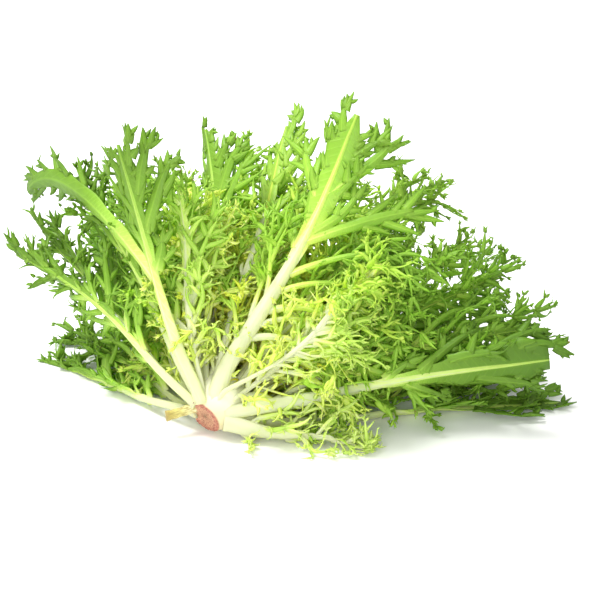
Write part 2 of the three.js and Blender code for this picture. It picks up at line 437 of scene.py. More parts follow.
OWN = {
    "middle_leaf_5": BIG_RIBBED_LEAF,
    "outer_leaf_3": STRAPPED_LEAF,
    "upper_leaf_4": TALL_LEAF,
    "low_leaf_6": BLUNT_LEAF,
    "low_leaf_5": RUNNING_LEAF,
    "outer_leaf_4": WHITE_FOOTED_LEAF,
    "outer_leaf_1": dict(broad=0.5, aged=16, size=0.8),
    "outer_leaf_2": dict(broad=0.5, aged=26, sway=-26, size=0.85),
    "low_leaf_1": dict(broad=0.4, aged=10, size=0.8),
    "low_leaf_2": dict(broad=0.5, aged=24, sway=32),
    "low_leaf_3": dict(broad=0.35, aged=26, size=1.15, sway=-2),
    "low_leaf_4": dict(broad=0.3, rib=2.4, aged=-50, branch=40),
    "low_leaf_7": dict(broad=1.0, rib=7.0, bare=0.5, blade=4.0, aged=0, sway=3, pale=0.6, size=0.9),
    "middle_leaf_1": dict(broad=0.2, rib=2.2, aged=-20),
    "middle_leaf_2": dict(broad=0.4, aged=20, size=1.1, sway=18),
    "middle_leaf_3": dict(broad=0.3, rib=2.4, aged=-20),
    "middle_leaf_4": dict(FRIZZY, rib=1.8, aged=-105, branch=50, branch_gap=2.8),
    "middle_leaf_6": dict(broad=0.0, rib=1.5, aged=-75, droop=9.0, lean=-0.5),
    "middle_leaf_7": dict(broad=0.3, rib=1.8, lean=-0.4),
    "middle_leaf_8": dict(broad=0.4, rib=3.0, aged=14),
    "upper_leaf_1": dict(broad=0.0, rib=2.0, aged=-70),
    "upper_leaf_2": dict(FRIZZY, rib=2.2, aged=-105, branch_gap=3.0),
    "upper_leaf_3": dict(FRIZZY, rib=2.2, aged=-95, branch_gap=3.0),
    "upper_leaf_5": dict(broad=0.0, rib=1.8, aged=-95, branch=46, lean=0.5),
    "upper_leaf_6": dict(broad=0.2, rib=1.8, lean=-0.5),
    "upper_leaf_7": dict(broad=0.3, rib=1.8, lean=-0.5),
    "upper_leaf_8": dict(broad=0.3, rib=1.8, lean=-0.4),
    "inner_leaf_1": dict(broad=0.0, aged=-80),
    "inner_leaf_2": dict(broad=0.0, aged=-75),
    "inner_leaf_3": dict(broad=0.05, aged=-65),
    "inner_leaf_4": dict(aged=-45),
    "inner_leaf_5": dict(broad=0.8, rib=3.2, aged=0, bow=3, sway=2),
    "inner_leaf_6": dict(aged=-45),
    "inner_leaf_7": dict(broad=0.3, rib=2.0, aged=6, lean=-0.5),
    "inner_leaf_8": dict(broad=0.3, rib=2.0, aged=6, lean=-0.5),
    "young_leaf_1": dict(aged=-85),
    "young_leaf_2": dict(aged=-80),
}


def habit_of(node):
    """All of a leaf's measures."""
    whorl, own = WHORL[node.split("_")[0]], OWN.get(node, {})
    share = own.get("broad", whorl["broad"])
    mixed = {k: LACY[k] * (1 - share) + BROAD[k] * share for k in MEASURES}
    return {**mixed, **COMMON, **whorl, **own}


print(len(OWN), "leaves have ways of their own")

# %% [markdown]
# ## One leaf
#
# The rib is a thick crescent, hollow on its face and round behind. A thin wing runs along it and widens into
# the blade at the tip. Branches leave both edges of the rib, lobes leave the branches, and the lobes split
# into tines. The closer to the crown, the less light reached it, and the paler it stays: the colour map runs
# from 0 at the crown to 1 at 240 mm from it.

# %% How green a place is
MAP_LENGTH = 240 * MM  # longer than any leaf


def greenness(centre, habit):
    """A place's share of the colour map's length."""
    return np.maximum(np.linalg.norm(centre - CROWN, axis=-1) + habit["aged"] * MM, 0) / MAP_LENGTH


print("100 mm from the crown, a leaf is at", round(100 * MM / MAP_LENGTH, 2), "on the map")


# %% A rib's path
def bowed(s, habit, rng):
    """The spine's frames, moved sideways, and stopped short to leave room for the tip's own lobes."""
    share = np.linspace(0, 1, SPINE_STEPS)[:, None]
    bow = habit.get("bow", rng.normal(0, 5))
    sway = habit.get("sway", rng.normal(0, 8))
    wave = np.sin(share * rng.uniform(5, 9) + rng.uniform(0, 6)) * 1.6 * share
    aside = (np.sin(np.pi * np.clip((share - 0.1) / 0.9, 0, 1)) * bow + share**2.2 * sway + wave) * MM
    outwards = np.sin(share * 7 + rng.uniform(0, 6)) * share * 1.5 * MM
    centre = s["centre"] + s["side"] * aside + s["face"] * outwards
    last = 1 - (0.4 * habit["lobe"] + habit["short"]) * MM / s["length"]
    both = np.concatenate([centre, s["face"]], axis=1)
    both = np.stack([np.interp(share[:, 0] * last, share[:, 0], column) for column in both.T], axis=1)
    centre, face = both[:, :3], unit(both[:, 3:])
    along = unit(np.gradient(centre, axis=0))
    side = unit(np.cross(face, along))
    frames = {"centre": centre, "along": along, "side": side, "face": unit(np.cross(along, side))}
    return {k: v[None] for k, v in frames.items()}


# %% The rib and the blade at its tip
RIB_CUP = 0.26
BLADE_CUP = 0.2
GREENEST_BLADE = 0.92
NOTCH = 6 * MM


def rib_and_blade(s, habit, rng):
    """The thick rib, and the thin sheet that is its wing and then the blade."""
    share = np.linspace(0, 1, SPINE_STEPS)
    path = bowed(s, habit, rng)
    rib_half = (habit["rib_tip"] + (habit["rib"] - habit["rib_tip"]) * (1 - share) ** 1.1) * MM
    rib_half = rib_half * (1 - 0.06 * np.sin(share * 11 + rng.uniform(0, 6)))
    thick = 0.42 * rib_half + 0.2 * MM
    green = np.minimum(greenness(path["centre"][0], habit), GREENEST_BLADE)
    rib_green = green * (0.1 + 0.62 * share * habit["pale"])
    row = rng.integers(0, ROWS, 1)
    rib = skin(path, rib_half[None], thick[None], 12, np.array([RIB_CUP]), np.zeros(1), rib_green[None], row)
    grown = np.clip((share - habit["bare"]) / (1 - habit["bare"]), 0, 1)
    notches = 1 + 0.16 * np.sin(share * s["length"] / NOTCH + rng.uniform(0, 6))
    wing = habit["wing"] * np.sin(np.pi * np.clip(grown * 1.3, 0, 0.5)) ** 0.6
    fan = habit["blade"] * np.clip((grown - 0.15) / 0.55, 0, 1) ** 1.1
    blunt = 1 - np.clip((grown - 0.65) / 0.35, 0, 1) ** 2 * habit["taper"]
    blade_half = rib_half * 0.95 + (wing + fan) * blunt * notches * MM
    sheet = np.full_like(share, 0.3 * MM)
    blade_green = rib_green + (green - rib_green) * np.clip(grown * 2.5, 0, 1)
    cup, ruffle = np.array([BLADE_CUP]), np.array([0.12])
    blade = skin(path, blade_half[None], sheet[None], 20, cup, ruffle, blade_green[None], row)
    return path, rib_half[None], rib_green[None], blade_half[None], blade_green[None], [rib, blade]


print("the big ribbed leaf's rib is", 2 * BIG_RIBBED_LEAF["rib"], "mm wide at its root")

# %% [markdown]
# ## Branches, lobes and tines
#
# A lobe doesn't sit on its parent like a twig on a pole: it is the same sheet, drawn out. So a ribbon starts
# inside its parent's edge, level with the cupped sheet there and sloping as it does, with the parent's own
# green, and turns to its own way and shade as it goes. Branches, lobes, tines and straps all leave by this
# one function, with their own sizes. Joining them by booleans would give cleaner meshes, but with this many
# pieces it would never end, and overlapping skins of one colour look the same.

# %% Ribbons that leave other ribbons
RIBBON_CUP = 0.25
EDGE = 0.72  # where a ribbon starts, as a share of its parent's half width
EDGE_RISE = 0.52  # how far the cupped parent has risen there: the square of EDGE
EDGE_SLOPE = 1.44  # and how steep it is there: twice EDGE


def widths(half, steps, base, swell, point):
    """Half widths along ribbons: a base, a full width at a share of the length, then a run to a point."""
    share = np.linspace(0, 1, steps)
    opening = np.clip(share / swell, 0, 1)
    shape = base + (1 - base) * opening * opening * (3 - 2 * opening)
    closing = np.clip((share - swell) / (1 - swell), 0, 1) ** 1.5
    return half[:, None] * (shape * (1 - (1 - point) * closing))[None]


def leave(parent, owner, share, hand, angle, lean, reach, half, steps, shape, habit, gain, curl, turn, droop,
          rng):
    """Grows ribbons from the edges of their parents. A set of ribbons is (path, length, half, green, cup)."""
    path, _, wide, green, cup = parent
    frames, edge, shade = at_share(path, wide, green, owner, share)
    n = len(share)
    out = (hand * edge * EDGE)[:, None]
    start = frames["centre"] + frames["side"] * out + frames["face"] * (edge * cup * EDGE_RISE)[:, None]
    slope = lean + EDGE_SLOPE * cup
    side, face = swing(frames["side"] * hand[:, None], frames["face"], slope[:, None])
    along = unit(frames["along"] * np.cos(angle)[:, None] + side * np.sin(angle)[:, None])
    face = swing(face, np.cross(along, face), rng.normal(0, habit["roll"] * 0.8, n)[:, None])[0]
    grown = grow(
        start, along, face, reach, steps,
        bend=rng.normal(0.1, curl, n),
        turn=hand * turn,
        twist=rng.normal(0, 0.6 * curl, n),
        wiggle=np.full(n, 0.9 * curl),
        droop=droop, rng=rng,
    )
    along_it = np.linspace(0, 1, steps)[None]
    green = 0.2 + 0.68 * greenness(grown["centre"], habit) + gain * along_it + rng.normal(0, 0.025, (n, 1))
    mixing = np.clip(along_it * 2.0 + 0.05, 0, 1)
    green = shade[:, None] * (1 - mixing) + green * mixing
    return grown, reach, widths(half, steps, *shape), green, RIBBON_CUP


print("a branch's width along its length", widths(np.array([1.0]), 5, 0.8, 0.4, 0.35).round(2)[0])


# %% Branches along a rib
def branches(s, habit, rib, rng):
    """The many branches that leave both edges of a rib."""
    length = np.array([s["length"]])
    owner, share, hand = offshoots(length, habit["bare"], 0.96, habit["branch_gap"] * MM, rng)
    n = len(share)
    if habit["hands"]:
        hand = np.full(n, float(habit["hands"]))
    grown = (share - habit["bare"]) / (1 - habit["bare"])
    size = (0.5 + 0.75 * np.sin(np.pi * np.clip(grown, 0, 1) ** 0.8)) * (1 - 0.45 * grown)
    reach = habit["branch"] * MM * size * habit["size"] * rng.uniform(0.55, 1.15, n)
    reach *= np.clip(s["length"] / (170 * MM), 0.6, 1.1)
    angle = habit["angle"] * (1.2 - 0.5 * share) + rng.normal(0, 0.12, n)
    lean = rng.normal(habit["lean"], habit["roll"], n)
    half = habit["branch_half"] * MM * rng.uniform(0.7, 1.25, n)
    turn = rng.normal(-0.2, 0.45, n)
    shape, curl = (habit["branch_base"], 0.4, 0.35), habit["curl"] * 0.6
    return leave(rib, owner, share, hand, angle, lean, reach, half, 18, shape, habit, 0.05, curl, turn,
                 habit["droop"], rng)


def known_branches(rows, parent, habit, shape, curl, rng):
    """The branches listed for one leaf."""
    share, hand, angle, length, half, turn, droop = np.array(rows, dtype=float).T
    n = len(rows)
    angle = angle + rng.normal(0, 0.25 * curl, n)
    length = length * (1 + rng.normal(0, 0.2 * curl, n))
    owner = np.zeros(n, dtype=int)
    lean = rng.normal(-0.2, 0.2 * curl, n)
    calm = {**habit, "roll": 0.2 * curl}
    return leave(parent, owner, share, hand, angle, lean, length * MM, half * MM, 24, shape, calm, 0.03, curl,
                 turn, droop, rng)


print("the hanging strap is", STRAPPED_LEAF["straps"][0][3], "mm long")


# %% Lobes, tines and forked ends
TIP_SHAPE = (0.25, 0.12)


def offshoots_of(parent, first, last, gap, reach, half, base, steps, angle, habit, gain, curl, rng):
    """Lobes or tines along both edges of ribbons."""
    owner, share, hand = offshoots(parent[1], first, last, gap * MM, rng)
    n = len(share)
    size = reach * MM * (0.55 + 0.55 * np.sin(np.pi * share)) * rng.uniform(0.5, 1.35, n)
    size = np.minimum(size, parent[1][owner] * 0.55)
    lean = rng.normal(0.4 * habit["lean"], habit["roll"] * 0.7, n)
    angles = np.clip(rng.normal(angle, 0.16, n), 0.2, 1.4)
    wide = half * MM * rng.uniform(0.75, 1.25, n)
    turn = rng.normal(-0.15, 0.5 * curl + 0.1, n)
    return leave(parent, owner, share, hand, angles, lean, size, wide, steps, (base, *TIP_SHAPE), habit, gain,
                 curl, turn, habit["droop"], rng)


def forked_ends(parent, reach, half, steps, habit, rng):
    """Three tines that fan out from each ribbon's end."""
    count = len(parent[1])
    owner = np.repeat(np.arange(count), 3)
    fan = np.tile([-1.0, 0.1, 1.0], count)
    n = len(owner)
    size = reach * MM * rng.uniform(0.5, 1.1, n)
    wide = np.maximum(half * MM, parent[2][owner, -1] * 0.8) * rng.uniform(0.8, 1.1, n)
    share = np.full(n, 0.95) - 0.05 * rng.random(n)
    angles = np.abs(fan) * rng.uniform(0.25, 0.7, n)
    hand, curl = np.sign(fan), habit["curl"] * 0.6
    return leave(parent, owner, share, hand, angles, np.zeros(n), size, wide, steps, (1.0, *TIP_SHAPE), habit,
                 0.03, curl, np.zeros(n), habit["droop"], rng)


print("tips open over", TIP_SHAPE[0], "of their length and end", TIP_SHAPE[1], "as wide")

# %% The skin of a set of ribbons
GREENEST = 0.94
BROWN_END = 0.99
BROWNED_SHARE = 0.012


def sheath(ribbons, points, thinnest, rng, ruffle=0.0):
    """The skin of a set of ribbons. A few of them have browned ends."""
    path, _, half, green, cup = ribbons
    n = len(half)
    green = np.minimum(green, GREENEST)
    green[rng.random(n) < BROWNED_SHARE, -2:] = BROWN_END
    thick = np.clip(half * 0.28, thinnest * MM * 0.5, 0.6 * MM)
    row = rng.integers(0, ROWS, n)
    return skin(path, half, thick, points, np.full(n, cup), np.full(n, ruffle), green, row)


print("one ribbon in", round(1 / BROWNED_SHARE), "has a browned end")


# %% The fringe of lobes and tines along a set of ribbons
def fringe(parent, first, habit, rng):
    """Lobes on both edges and at the ends, with tines on them, and forked tips on a lacy leaf."""
    parts = []
    sides = offshoots_of(parent, first, 0.95, habit["lobe_gap"], habit["lobe"], habit["lobe_half"],
                         habit["lobe_base"], 9, 0.68, habit, 0.04, habit["curl"] * 0.8, rng)
    ends = forked_ends(parent, habit["lobe"], habit["lobe_half"], 8, habit, rng)
    for lobes in (sides, ends):
        parts.append(sheath(lobes, 6, habit["thick"], rng))
        tines = offshoots_of(lobes, 0.25, 0.9, habit["tine_gap"], habit["tine"], habit["tine_half"], 1.0, 6,
                             0.7, habit, 0.03, habit["curl"] * 0.7, rng)
        parts.append(sheath(tines, 4, habit["thick"], rng))
        if habit["broad"] < 0.5:
            tips = forked_ends(lobes, habit["tine"] * 0.6, habit["tine_half"] * 0.9, 5, habit, rng)
            parts.append(sheath(tips, 4, habit["thick"], rng))
    return parts


print("a lacy lobe is", LACY["lobe"], "mm long, a broad leaf's", BROAD["lobe"])

# %% [markdown]
# ## Inside the box, and off the table
#
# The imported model's box is what others plan their space by, so fine tips shouldn't stray far from it.
# Cutting them off would show. Each stray tip is drawn back smoothly instead, and none passes the limit. The
# same is done to whatever would sink into the table, which flattens it as its own weight does.

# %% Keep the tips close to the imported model's box, and off the table
REACH = np.array([15, 12, 11]) * MM
FLOOR = 0.25 * MM
FLATTENING = 0.5 * MM


def kept_in(corners):
    """Tips that stray beyond the box are drawn back, more the farther they stray."""
    over = np.maximum(corners - np.array(cad_high), 0)
    under = np.maximum(np.array(cad_low) - corners, 0)
    under[:, 2] = 0
    corners = corners - over + REACH * (1 - np.exp(-over / REACH))
    corners = corners + under - REACH * (1 - np.exp(-under / REACH))
    corners[:, 2] = FLOOR + np.logaddexp(0, (corners[:, 2] - FLOOR) / FLATTENING) * FLATTENING
    return corners


print("tips may pass the packed model's box by", (REACH / MM).round().tolist(), "mm")

# %% A whole leaf
STRAPPY = {**BROAD, "lobe_gap": 7.0, "lobe": 21.0, "lobe_half": 2.5}


def leaf(node, seed):
    """A whole leaf's corners, faces and places on the colour map."""
    rng = np.random.default_rng(seed)
    s, habit = spines[node], habit_of(node)
    path, rib_half, rib_green, blade_half, blade_green, parts = rib_and_blade(s, habit, rng)
    length = np.array([s["length"]])
    rib = (path, length, rib_half, rib_green, RIB_CUP)
    blade = (path, length, blade_half, blade_green, BLADE_CUP)
    limbs = branches(s, habit, blade if habit["broad"] > 0.7 else rib, rng)
    parts.append(sheath(limbs, 8, habit["thick"], rng, 0.1))
    parts += fringe(limbs, 0.12, habit, rng)
    parts += fringe(blade, habit["bare"] + 0.1, habit, rng)
    if habit["straps"]:
        straps = known_branches(habit["straps"], rib, habit, (0.8, 0.6, 0.5), 0.08, rng)
        parts.append(sheath(straps, 16, 0.6, rng, 0.12))
        parts += fringe(straps, 0.45, {**habit, **STRAPPY}, rng)
    if habit["side_ribs"]:
        ribs = known_branches(habit["side_ribs"], rib, habit, (1.3, 0.3, 0.4), 0.5, rng)
        parts.append(sheath(ribs, 8, 0.8, rng))
        lacy = {**habit, **LACY, "droop": 10.0}
        forks = offshoots_of(ribs, 0.3, 0.98, 6.0, 24, 1.1, 0.9, 14, 0.5, lacy, 0.03, 0.8, rng)
        parts.append(sheath(forks, 8, 0.5, rng))
        parts += fringe(ribs, 0.35, lacy, rng) + fringe(forks, 0.2, lacy, rng)
    corners, quads, places = joined(parts)
    return kept_in(corners), quads, places


print("a strap's lobes are", STRAPPY["lobe"], "mm long")


# %% Make a mesh of it
def mesh_piece(name, corners, quads, places, material):
    """A smooth mesh with its colour map, on the part's one body."""
    mesh = bpy.data.meshes.new(name)
    mesh.from_pydata(corners, [], quads)
    for title in ("LeafMap", "OFBake"):
        layer = mesh.uv_layers.new(name=title)
        layer.data.foreach_set("uv", places[quads.ravel()].astype(np.float32).ravel())
    mesh.materials.append(material)
    mesh.shade_smooth()
    piece = bpy.data.objects.new(name, mesh)
    bpy.context.scene.collection.objects.link(piece)
    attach(piece, "root")
    return piece


print("leaves are ready to grow round", CROWN.round(3))

# %% [markdown]
# ## Colours and nodes
#
# Colours are written as they look on a screen, in hex, and one function turns them to the linear values that
# Blender works in. Another adds a node, with its settings and whatever feeds its inputs, so that a finish
# reads as a list of what it is made of.

# %% Colours and nodes
MATHS = "ShaderNodeMath"
RANGE = "ShaderNodeMapRange"


def linear(hex_colour):
    """An sRGB hex colour as linear values."""
    values = [int(hex_colour[i : i + 2], 16) / 255 for i in (1, 3, 5)]
    return (*[v / 12.92 if v <= 0.04045 else ((v + 0.055) / 1.055) ** 2.4 for v in values], 1.0)


def new_material(name):
    """A material with no nodes yet."""
    material = bpy.data.materials.new(name)
    material.use_nodes = True
    material.node_tree.nodes.clear()
    return material


def add_node(material, kind, feeds=None, **settings):
    """Adds a node. feeds gives its inputs, each from a value, a socket or another node's first output."""
    tree = material.node_tree
    made = tree.nodes.new(kind)
    for key, value in settings.items():
        setattr(made, key, value)
    for key, source in (feeds or {}).items():
        if isinstance(source, bpy.types.Node):
            source = source.outputs[0]
        if isinstance(source, bpy.types.NodeSocket):
            tree.links.new(source, made.inputs[key])
        else:
            made.inputs[key].default_value = source
    return made


def set_stops(made, stops):
    """Sets a colour ramp's stops, each a place and a hex colour."""
    elements = made.color_ramp.elements
    while len(elements) > 1:
        elements.remove(elements[-1])
    elements[0].position, elements[0].color = stops[0][0], linear(stops[0][1])
    for place, colour in stops[1:]:
        elements.new(place).color = linear(colour)


FALLING = {3: 1.0, 4: 0.0}
SMOOTHLY = {"interpolation_type": "SMOOTHSTEP"}
print("mid green as linear values", [round(v, 3) for v in linear("#98C444")])

# %% [markdown]
# ## Fresh leaf
#
# A living leaf is wet cells under a thin waxy skin. The skin gives soft, broad highlights, uneven because the
# tissue puckers between its veins. Light that falls on the back comes through yellower, so a crowd of thin
# leaves seems lit from inside. Half of the light is reflected here and half passes through. Painting the
# shades by hand would need a picture for each leaf, so they come from the colour map instead: a ramp from
# white through lime to green, moved a little by the row, by blotches and by the paler veins.
#
# The side veins are 5 mm apart, as on a real leaf. Real puckers are about 1 mm, which is too fine to show
# from where the head is seen, so the blotches are drawn at 2.5 mm.

# %% The veins of a ribbon
VEIN_GAP = 5 * MM
VEIN_SLANT = 3.0


def veins_of(leaf, age, rows):
    """1 along the midrib and 0.5 along the side veins, falling to 0 between them."""
    in_row = add_node(leaf, MATHS, {0: rows}, operation="FRACT")
    aside = add_node(leaf, MATHS, {0: in_row, 1: 0.5}, operation="SUBTRACT")
    off_centre = add_node(leaf, MATHS, {0: aside}, operation="ABSOLUTE")
    midrib = add_node(leaf, RANGE, {0: off_centre, 1: 0.02, 2: 0.1, **FALLING}, **SMOOTHLY)
    along = add_node(leaf, MATHS, {0: age, 1: MAP_LENGTH / VEIN_GAP}, operation="MULTIPLY")
    slanted = add_node(leaf, MATHS, {0: off_centre, 1: VEIN_SLANT, 2: along}, operation="MULTIPLY_ADD")
    in_gap = add_node(leaf, MATHS, {0: slanted}, operation="FRACT")
    from_middle = add_node(leaf, MATHS, {0: in_gap, 1: 0.5}, operation="SUBTRACT")
    near_vein = add_node(leaf, MATHS, {0: from_middle}, operation="ABSOLUTE")
    side_vein = add_node(leaf, RANGE, {0: near_vein, 1: 0.03, 2: 0.12, **FALLING}, **SMOOTHLY)
    faint = add_node(leaf, MATHS, {0: side_vein, 1: 0.5}, operation="MULTIPLY")
    return add_node(leaf, MATHS, {0: midrib, 1: faint}, operation="MAXIMUM")


print("side veins on the map's length:", round(MAP_LENGTH / VEIN_GAP))

# %% The blotches of a leaf
BLOTCH = 2.5 * MM
BLOTCHES_ACROSS = 3.0


def blotches_of(leaf, age, rows):
    """Soft noise, as long as a blotch along a ribbon and a third of its width across it."""
    along = add_node(leaf, MATHS, {0: age, 1: MAP_LENGTH / BLOTCH}, operation="MULTIPLY")
    across = add_node(leaf, MATHS, {0: rows, 1: BLOTCHES_ACROSS}, operation="MULTIPLY")
    place = add_node(leaf, "ShaderNodeCombineXYZ", {0: along, 1: across})
    return add_node(leaf, "ShaderNodeTexNoise", {"Vector": place, "Scale": 1.0, "Detail": 3.0})


print("blotches on the map's length:", round(MAP_LENGTH / BLOTCH))

# %% The finish of a leaf
LEAF_IOR = 1.42
PUCKER = 0.4 * MM
ROW_TONE, BLOTCH_TONE, VEIN_TONE = 0.09, 0.12, 0.1
THROUGH_TINT = (1.04, 1.04, 0.55)


def fresh_leaf(name, stops):
    """A leaf's finish, with its own shades from the white root to the green tip."""
    leaf = new_material(name)
    place = add_node(leaf, "ShaderNodeUVMap", uv_map="LeafMap")
    split = add_node(leaf, "ShaderNodeSeparateXYZ", {0: place})
    age = split.outputs[0]
    rows = add_node(leaf, MATHS, {0: split.outputs[1], 1: ROWS}, operation="MULTIPLY")
    veins, blotch = veins_of(leaf, age, rows), blotches_of(leaf, age, rows)
    row_number = add_node(leaf, MATHS, {0: rows}, operation="FLOOR")
    row = add_node(leaf, "ShaderNodeTexWhiteNoise", {"W": row_number}, noise_dimensions="1D")
    shade = age
    for part, weight in ((row, ROW_TONE), (blotch, BLOTCH_TONE), (veins, -VEIN_TONE)):
        shade = add_node(leaf, MATHS, {0: part, 1: weight, 2: shade}, operation="MULTIPLY_ADD")
    shade = add_node(leaf, MATHS, {0: shade, 1: (ROW_TONE + BLOTCH_TONE) / 2}, operation="SUBTRACT")
    colour = add_node(leaf, "ShaderNodeValToRGB", {0: shade})
    set_stops(colour, stops)
    height = add_node(leaf, MATHS, {0: blotch, 1: 0.8, 2: veins}, operation="MULTIPLY_ADD")
    bump = add_node(leaf, "ShaderNodeBump", {"Height": height, "Strength": 0.5, "Distance": PUCKER})
    rough = add_node(leaf, MATHS, {0: blotch, 1: 0.25, 2: 0.28}, operation="MULTIPLY_ADD")
    skin_of_wax = add_node(leaf, "ShaderNodeBsdfPrincipled", {
        "Base Color": colour, "Normal": bump, "Roughness": rough, "IOR": LEAF_IOR})
    tinted = add_node(leaf, "ShaderNodeVectorMath", {0: colour, 1: THROUGH_TINT}, operation="MULTIPLY")
    glow = add_node(leaf, "ShaderNodeBsdfTranslucent", {"Color": tinted})
    mixed = add_node(leaf, "ShaderNodeMixShader", {0: 0.5, 1: skin_of_wax, 2: glow})
    add_node(leaf, "ShaderNodeOutputMaterial", {0: mixed})
    return leaf


print("a leaf puckers by", PUCKER / MM, "mm")

# %% Four leaf finishes
BROWNED = (0.985, "#9A7A3C")
GREENS = {
    # Outer leaves had the most sun: deep green tips, which give the head its dark edge.
    "outer_leaf": fresh_leaf("outer_leaf_green", [
        (0.0, "#EFF1DC"), (0.1, "#EFF5CE"), (0.16, "#F0FAA8"), (0.26, "#DEF580"), (0.4, "#BCE25E"),
        (0.56, "#98C444"), (0.8, "#74A02E"), (0.95, "#648F28"), BROWNED]),
    # Middle leaves stay lighter, with long white feet that draw the eye down to the crown.
    "middle_leaf": fresh_leaf("middle_leaf_green", [
        (0.0, "#EFF1DC"), (0.1, "#F0F6CE"), (0.16, "#F7FC9C"), (0.26, "#E8F97C"), (0.4, "#CAEC62"),
        (0.56, "#AAD64E"), (0.8, "#86B438"), (0.95, "#74A230"), BROWNED]),
    # Inner leaves grew in the shade of the others: lime, and bright against the outer ones.
    "inner_leaf": fresh_leaf("inner_leaf_lime", [
        (0.0, "#FAFBE8"), (0.08, "#F9FAB4"), (0.16, "#F7F76A"), (0.28, "#EEF766"), (0.42, "#D6EF62"),
        (0.58, "#C0E35E"), (0.8, "#A0CA4A"), (0.95, "#8CB83E"), BROWNED]),
    # The heart never saw light: butter yellow.
    "heart_leaf": fresh_leaf("heart_leaf_yellow", [
        (0.0, "#FAFAC8"), (0.1, "#F8F25C"), (0.3, "#F0EE50"), (0.6, "#E2E850"), (0.95, "#D0DC58"), BROWNED]),
}
print(len(GREENS), "leaf finishes")

# %% Grow every leaf
SLOT = {row["node"]: row["material_slot"] for row in frame["record"]["subparts"]}
FIRST_SEED = 4000
total = 0
for number, name in enumerate(LEAVES):
    corners, quads, places = leaf(name, FIRST_SEED + number)
    piece = mesh_piece(f"{name}_frond", corners, quads, places, GREENS[SLOT[name]])
    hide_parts(name)
    total += len(quads)
print(total, "faces on", len(LEAVES), "leaves")

# %% [markdown]
# ## The crown
#
# The crown is the short stem's end: a rough cut face, browned by the air, on a pale round body that the
# leaf ribs grow out of. It could be cut from a ball with a boolean, but the cut would leave long thin faces
# at its rim. It is turned on its axis like a pot instead, from an outline that runs over the dished cut, the
# rim and the body, and then made uneven.

# %% Turn a body on its axis
ROUGHNESS_OF_CUT = 0.28 * MM
CUT_ENDS_ON_MAP = 0.4


def lathe(centre, axis, outline, points, bumps, rng):
    """A turned body. outline holds radius, height and place on the map; bumps is how uneven its rim is."""
    u = unit(np.cross(axis, [0, 0, 1.0]))
    v = np.cross(u, axis)
    angle = 2 * np.pi * np.arange(points) / points
    radius, height, place = np.array(outline).T
    phases = rng.uniform(0, 6.3, 5)
    uneven = sum(np.sin(angle * k + phases[k - 2]) / k for k in range(2, 7))
    around = np.cos(angle)[:, None] * u + np.sin(angle)[:, None] * v
    rim = radius[:, None] * (1 + bumps * uneven[None])
    corners = centre + around[None] * rim[..., None] + axis * height[:, None, None]
    torn = rng.normal(0, ROUGHNESS_OF_CUT, corners.shape[:2]) * (place[:, None] < CUT_ENDS_ON_MAP)
    corners = corners + axis * torn[..., None]
    ring = np.arange(len(outline) - 1)[:, None] * points
    here, there = np.arange(points), (np.arange(points) + 1) % points
    quads = np.stack([ring + here, ring + points + here, ring + points + there, ring + there], axis=-1)
    around_map = np.abs(2 * np.arange(points)[None] / points - 1)
    places = np.stack(np.broadcast_arrays(place[:, None], around_map), axis=-1)
    return corners.reshape(-1, 3), quads.reshape(-1, 4), places.reshape(-1, 2)


print("the cut is torn by", ROUGHNESS_OF_CUT / MM, "mm")

# %% The crown's outline
CUT_AXIS = unit(-AXIS + np.array([-0.15, 0.15, -0.08]))
CUT_HEIGHT = 15.4 * MM
CUT_RADIUS = 11.0 * MM
CUT_RINGS = 13
CUT_ON_MAP = 0.36
DISH = 0.9 * MM
RIDGE = 0.12 * MM
BODY_RADIUS = CROWN_RADIUS * 0.96
BODY_RINGS = 11
POINT = 0.2 * MM

outline = [(POINT, CUT_HEIGHT - DISH, 0.01)]
for k in range(1, CUT_RINGS + 1):
    share = k / CUT_RINGS
    height = CUT_HEIGHT - DISH * (1 - share**2) + RIDGE * math.sin(k * 2.1)
    outline.append((CUT_RADIUS * share, height, 0.02 + CUT_ON_MAP * share))
outline += [(11.4 * MM, CUT_HEIGHT - 0.4 * MM, 0.41), (11.7 * MM, CUT_HEIGHT - 1.4 * MM, 0.46)]
for k in range(1, BODY_RINGS + 1):
    turn = math.radians(46 + 12 * k)
    radius = max(BODY_RADIUS * math.sin(turn), POINT)
    outline.append((radius, BODY_RADIUS * math.cos(turn), 0.46 + 0.5 * k / BODY_RINGS))
corners, quads, places = lathe(CROWN, CUT_AXIS, outline, 72, 0.05, np.random.default_rng(7))
corners[:, 2] = np.maximum(corners[:, 2], 0.3 * MM)
print("the cut is", 2 * CUT_RADIUS / MM, "mm across, and the crown has", len(quads), "faces")

# %% [markdown]
# ## Cut stem
#
# Freshly cut stem is white and wet. The air browns it within a day, first at the ring of sap vessels just
# inside the skin, so the cut is dull, rough and darkest in a ring and in spots, while the skin beside it
# stays cream. Its grain is about 0.9 mm from the middle outwards and 2.2 mm round it.

# %% The finish of the cut stem
GRAIN_OUTWARDS = 0.9 * MM
GRAIN_ROUND = 2.2 * MM
grain_scale = (round(CUT_RADIUS / CUT_ON_MAP / GRAIN_OUTWARDS), round(np.pi * CUT_RADIUS / GRAIN_ROUND), 1)

